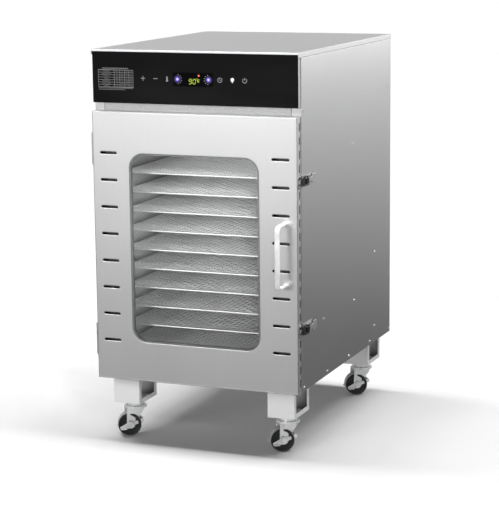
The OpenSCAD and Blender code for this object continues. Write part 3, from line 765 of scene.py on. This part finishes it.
def segment_bars(glyph, x):
    """Ends of the bars of a seven-segment digit whose left foot is at x."""
    w, h = DIGIT_W, DIGIT_H
    ends = {
        "a": ((0, h), (w, h)),
        "b": ((w, h), (w, h / 2)),
        "c": ((w, h / 2), (w, 0)),
        "d": ((0, 0), (w, 0)),
        "e": ((0, 0), (0, h / 2)),
        "f": ((0, h / 2), (0, h)),
        "g": ((0, h / 2), (w, h / 2)),
    }
    bars = []
    for s in SEGMENTS[glyph]:
        (x0, z0), (x1, z1) = ends[s]
        length = math.hypot(x1 - x0, z1 - z0)
        dx, dz = (x1 - x0) / length * SEGMENT_GAP, (z1 - z0) / length * SEGMENT_GAP
        a = (x + x0 + dx + DIGIT_SLANT * (z0 + dz), DIGIT_FOOT + z0 + dz)
        b = (x + x1 - dx + DIGIT_SLANT * (z1 - dz), DIGIT_FOOT + z1 - dz)
        bars.append((a, b))
    return bars


def build_display():
    """The screen with a generic number, a unit sign, a lamp and two lit dials."""
    outline = rounded_rect(SCREEN_W, SCREEN_H, SCREEN_CORNER)
    screen = put([(x, z - SCREEN_DROP) for x, z in outline])
    verts, faces = flat_prism(screen, PRINT_Y + LAYER, GLASS_FACE)
    make_piece("display_screen", verts, faces, M["screen"], "cabinet")
    lit = []
    for glyph, x in DIGITS:
        bars = segment_bars(glyph, x)
        lit += [line(put(bar), SEGMENT_WIDTH, False, LIT_Y) for bar in bars]
    lit.append(line(put(arc((12.0, -2.4), 2.3, 45, 315, 12)), 1.1, False, LIT_Y))
    lit.append(line(put(arc((8.6, 1.4), 0.7, 0, 330, 11)), 0.6, True, LIT_Y))
    printed("display_digits", lit, "digit")
    for side, name in ((-1, "left"), (1, "right")):
        cx = side * DIAL_X
        printed(f"dial_halo_rim_{name}", [disc(cx, 0, DIAL_RIM, PRINT_Y)], "halo_rim")
        printed(f"dial_halo_{name}", [disc(cx, 0, DIAL_HALO, PRINT_Y - LAYER)], "halo")
        printed(f"dial_light_{name}", [disc(cx, 0, DIAL_LIGHT, LIT_Y)], "violet")
        ticks = []
        for a in range(-80, 81, 32):
            c, s = -side * math.cos(math.radians(a)), math.sin(math.radians(a))
            ends = [(cx + r * c, r * s) for r in (TICK_FROM, TICK_TO)]
            ticks.append(line(put(ends), TICK_WIDTH))
        printed(f"dial_ticks_{name}", ticks)
    printed("indicator_lamp", [disc(12.6, 7.7, 1.9, LIT_Y)], "orange")


# ---------------------------------------------------------------- door handle

STRAP_THICKNESS = 5 * MM
STRAP_BEND = 11 * MM
STRAP_ROUNDING = 1.9 * MM


def build_handle():
    """A bent strap with soft edges, in place of the CAD strap."""
    low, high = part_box("door_handle")
    half = STRAP_THICKNESS / 2
    x = (low.x + high.x) / 2
    y0, y1 = low.y + half, high.y
    z0, z1 = low.z + half, high.z - half
    path = [(y1, z0)]
    path += arc((y0 + STRAP_BEND, z0 + STRAP_BEND), STRAP_BEND, 270, 180, 10)
    path += arc((y0 + STRAP_BEND, z1 - STRAP_BEND), STRAP_BEND, 180, 90, 10)
    path.append((y1, z1))
    points = [(x, y, z) for y, z in path]
    section = rounded_rect(high.x - low.x, STRAP_THICKNESS, STRAP_ROUNDING, 5)
    verts, faces = sweep(points, section, (1, 0, 0), False)
    make_piece(
        "handle_strap", verts, faces, M["handle"], "door", True, ("door_handle",)
    )


# ---------------------------------------------------------------- caster wheels

TREAD_BAND = 0.6 * MM
AXLE_BORE = 4.2 * MM
HUB_RADIUS = 8.5 * MM
WEB_RECESS = 3 * MM


def axle_of(node):
    """Middle, axle direction, radius and width of a wheel, measured on its own mesh."""
    low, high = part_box(node)
    middle = (low + high) / 2
    radius = (high.z - low.z) / 2
    points = [v.co - middle for v in NODES[node].data.vertices]
    rim = [p for p in points if p.z > 0.98 * radius]
    far = max(rim, key=lambda p: p.x * p.x + p.y * p.y)
    axle = Vector((far.x, far.y, 0)).normalized()
    return middle, axle, radius, 2 * max(abs(p.dot(axle)) for p in points)


def turned(profile, middle, axle, steps=48):
    """A closed profile of (distance from the axle, place along it), turned round the axle."""
    up = Vector((0, 0, 1))
    side = axle.cross(up)
    verts, faces = [], []
    n = len(profile)
    for i in range(steps):
        a = 2 * math.pi * i / steps
        out = up * math.cos(a) + side * math.sin(a)
        verts += [middle + out * r + axle * t for r, t in profile]
        faces += ring_faces(n, i * n, (i + 1) % steps * n)
    return verts, faces


def mirrored(profile):
    """A profile and its mirror image on the wheel's other side."""
    return profile + [(r, -t) for r, t in reversed(profile)]


def build_wheel(node):
    """A black wheel with a recessed web and a raised hub, and a grey band round its tread."""
    middle, axle, radius, width = axle_of(node)
    body = node.replace("caster_", "")
    half = width / 2
    core = mirrored([
        (AXLE_BORE, -half),
        (HUB_RADIUS, -half),
        (HUB_RADIUS + 1 * MM, -half + WEB_RECESS),
        (radius - 7 * MM, -half + WEB_RECESS),
        (radius - 5.5 * MM, -half + 1 * MM),
        (radius - 2.2 * MM, -half + 0.4 * MM),
        (radius - TREAD_BAND, -half + 2.4 * MM),
    ])
    verts, faces = turned(core, middle, axle)
    make_piece(node + "_core", verts, faces, M["wheel"], body, True, (node,))
    tread = mirrored([
        (radius - TREAD_BAND - 0.4 * MM, -half + 2.0 * MM),
        (radius - 0.5 * MM, -half + 2.4 * MM),
        (radius, -half + 4.5 * MM),
    ])
    verts, faces = turned(tread, middle, axle)
    make_piece(node + "_tread", verts, faces, M["tread"], body, True)


# ---------------------------------------------------------------- camera

AZIMUTH, ELEVATION, ROLL = math.radians(21.995), math.radians(10.559), math.radians(-0.615)
DISTANCE = 3.8586
AIM = Vector((-0.0018, 0.0209, 0.3595))
LENS, SENSOR = 127.34, 36.0


def add_camera():
    """The photograph's camera, fitted to the three printed sizes."""
    back = Vector((
        math.sin(AZIMUTH) * math.cos(ELEVATION),
        -math.cos(AZIMUTH) * math.cos(ELEVATION),
        math.sin(ELEVATION),
    ))
    data = bpy.data.cameras.new("camera")
    data.lens = LENS
    data.sensor_width = SENSOR
    camera = bpy.data.objects.new("camera", data)
    bpy.context.scene.collection.objects.link(camera)
    place = Matrix.Translation(AIM + back * DISTANCE)
    turn = back.to_track_quat("Z", "Y").to_matrix().to_4x4()
    camera.matrix_world = place @ turn @ Matrix.Rotation(ROLL, 4, "Z")
    bpy.context.scene.camera = camera


# ---------------------------------------------------------------- stage and light

FLOOR_HALF_SIZE = 200.0
# a row of five suns, side by side over the object: degrees from one to the next, and their strength
STRIP_STEP = 14
STRIP_STRENGTH = 1.06
# towards the light, width in degrees, strength
LOW_SUNS = {
    "low_front": ((-0.368, -0.911, 0.21), 20, 0.8),
    "low_back": ((0.368, 0.911, 0.16), 25, 0.3),
}
# the beam through the window: towards the light, its distance, and its height on the glass
BEAM_TOWARDS = (0.62, -1.0, 0.50)
BEAM_DISTANCE = 1.5
BEAM_DROP = 0.3
CHAMBER_LIGHT_LIFT = 14 * MM
# brightness of the studio by height of view, as the sine of the angle over the horizon
SKY = (
    (-0.50, 0.36), (-0.36, 0.21), (-0.27, 0.11), (-0.23, 0.11), (-0.15, 0.36),
    (-0.06, 0.66), (0.02, 0.74), (0.10, 0.60), (0.30, 0.45), (0.45, 0.12),
)


def new_light(name, kind, energy):
    """A light linked into the scene: (its data, its object)."""
    data = bpy.data.lights.new(name, kind)
    data.energy = energy
    light = bpy.data.objects.new(name, data)
    bpy.context.scene.collection.objects.link(light)
    return data, light


def face_from(light, towards):
    """Turns a light so that it shines from the direction towards."""
    light.rotation_euler = Vector(towards).to_track_quat("Z", "Y").to_euler()


def sun_light(name, towards, angle, strength):
    """A soft light so far off that it falls evenly on the whole floor; towards points at it."""
    data, light = new_light(name, "SUN", strength)
    data.angle = math.radians(angle)
    face_from(light, towards)


def window_light():
    """A narrow soft beam from the front right, through the window and down over the trays."""
    low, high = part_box("door_glass")
    target = Vector(((low.x + high.x) / 2, high.y, high.z - BEAM_DROP * (high.z - low.z)))
    towards = Vector(BEAM_TOWARDS).normalized()
    data, light = new_light("window_light", "AREA", energy=1.0)
    data.shape = "DISK"
    data.size = 0.3
    data.spread = math.radians(22)
    light.location = target + towards * BEAM_DISTANCE
    face_from(light, towards)


def chamber_light():
    """A soft light under the chamber's ceiling: the trays get less of it the lower they are."""
    low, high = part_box("tray_01")
    data, light = new_light("chamber_light", "AREA", energy=0.3)
    data.shape = "RECTANGLE"
    data.size, data.size_y = high.x - low.x, high.y - low.y
    light.location = ((low.x + high.x) / 2, (low.y + high.y) / 2, high.z + CHAMBER_LIGHT_LIFT)
    light.visible_camera = False


def add_sky():
    """A studio brightest near the horizon and dark low down, so upright steel fades downwards."""
    world = bpy.data.worlds.new("studio")
    bpy.context.scene.world = world
    world.use_nodes = True
    tree = world.node_tree
    coords = tree.nodes.new("ShaderNodeTexCoord")
    height_of_view = component(tree, coords.outputs["Generated"], "Z")
    low, high = SKY[0][0], SKY[-1][0]
    ramp = tree.nodes.new("ShaderNodeValToRGB")
    tree.links.new(remap(tree, height_of_view, 0, 1, low, high), ramp.inputs["Fac"])
    top_level = max(level for _, level in SKY)
    stops = ramp.color_ramp.elements
    while len(stops) < len(SKY):
        stops.new(0.5)
    for stop, (height, level) in zip(stops, SKY):
        stop.position = (height - low) / (high - low)
        stop.color = (*([level / top_level] * 3), 1)
    background = tree.nodes["Background"]
    background.inputs["Strength"].default_value = top_level
    tree.links.new(ramp.outputs["Color"], background.inputs["Color"])


def add_floor():
    """A wide pale floor that the steel does not reflect."""
    size = FLOOR_HALF_SIZE
    corners = [(-size, -size, 0), (size, -size, 0), (size, size, 0), (-size, size, 0)]
    mesh = bpy.data.meshes.new("floor")
    mesh.from_pydata(corners, [], [(0, 1, 2, 3)])
    floor = bpy.data.objects.new("floor", mesh)
    bpy.context.scene.collection.objects.link(floor)
    material, tree, shader = new_material("pale_floor")
    grain = noise(tree, scale=30.0, detail=2.0)
    tone = mix_colors(tree, grain, grey(0.60, blue=0.003), grey(0.63, blue=0.003))
    shade(tree, shader, tone, remap(tree, grain, low=0.5, high=0.65))
    mesh.materials.append(material)
    floor.visible_glossy = False


def add_lights():
    """Soft studio light: the sky, a strip overhead, two low suns and two lights for the trays."""
    add_sky()
    for step in range(-2, 3):
        towards = (math.tan(math.radians(STRIP_STEP * step)), 0.03, 1.0)
        sun_light(f"overhead_strip_{step + 3}", towards, STRIP_STEP, STRIP_STRENGTH)
    for name, (towards, angle, strength) in LOW_SUNS.items():
        sun_light(name, towards, angle, strength)
    window_light()
    chamber_light()
    bpy.context.scene.view_settings.view_transform = "Standard"


dress_cad_nodes()
for tray_node in sorted(NODE_MATERIALS["tray"]):
    build_tray(tray_node)
build_icons()
build_table()
build_display()
build_handle()
for wheel_node in sorted(NODE_MATERIALS["wheel"]):
    build_wheel(wheel_node)
add_floor()
add_lights()
add_camera()
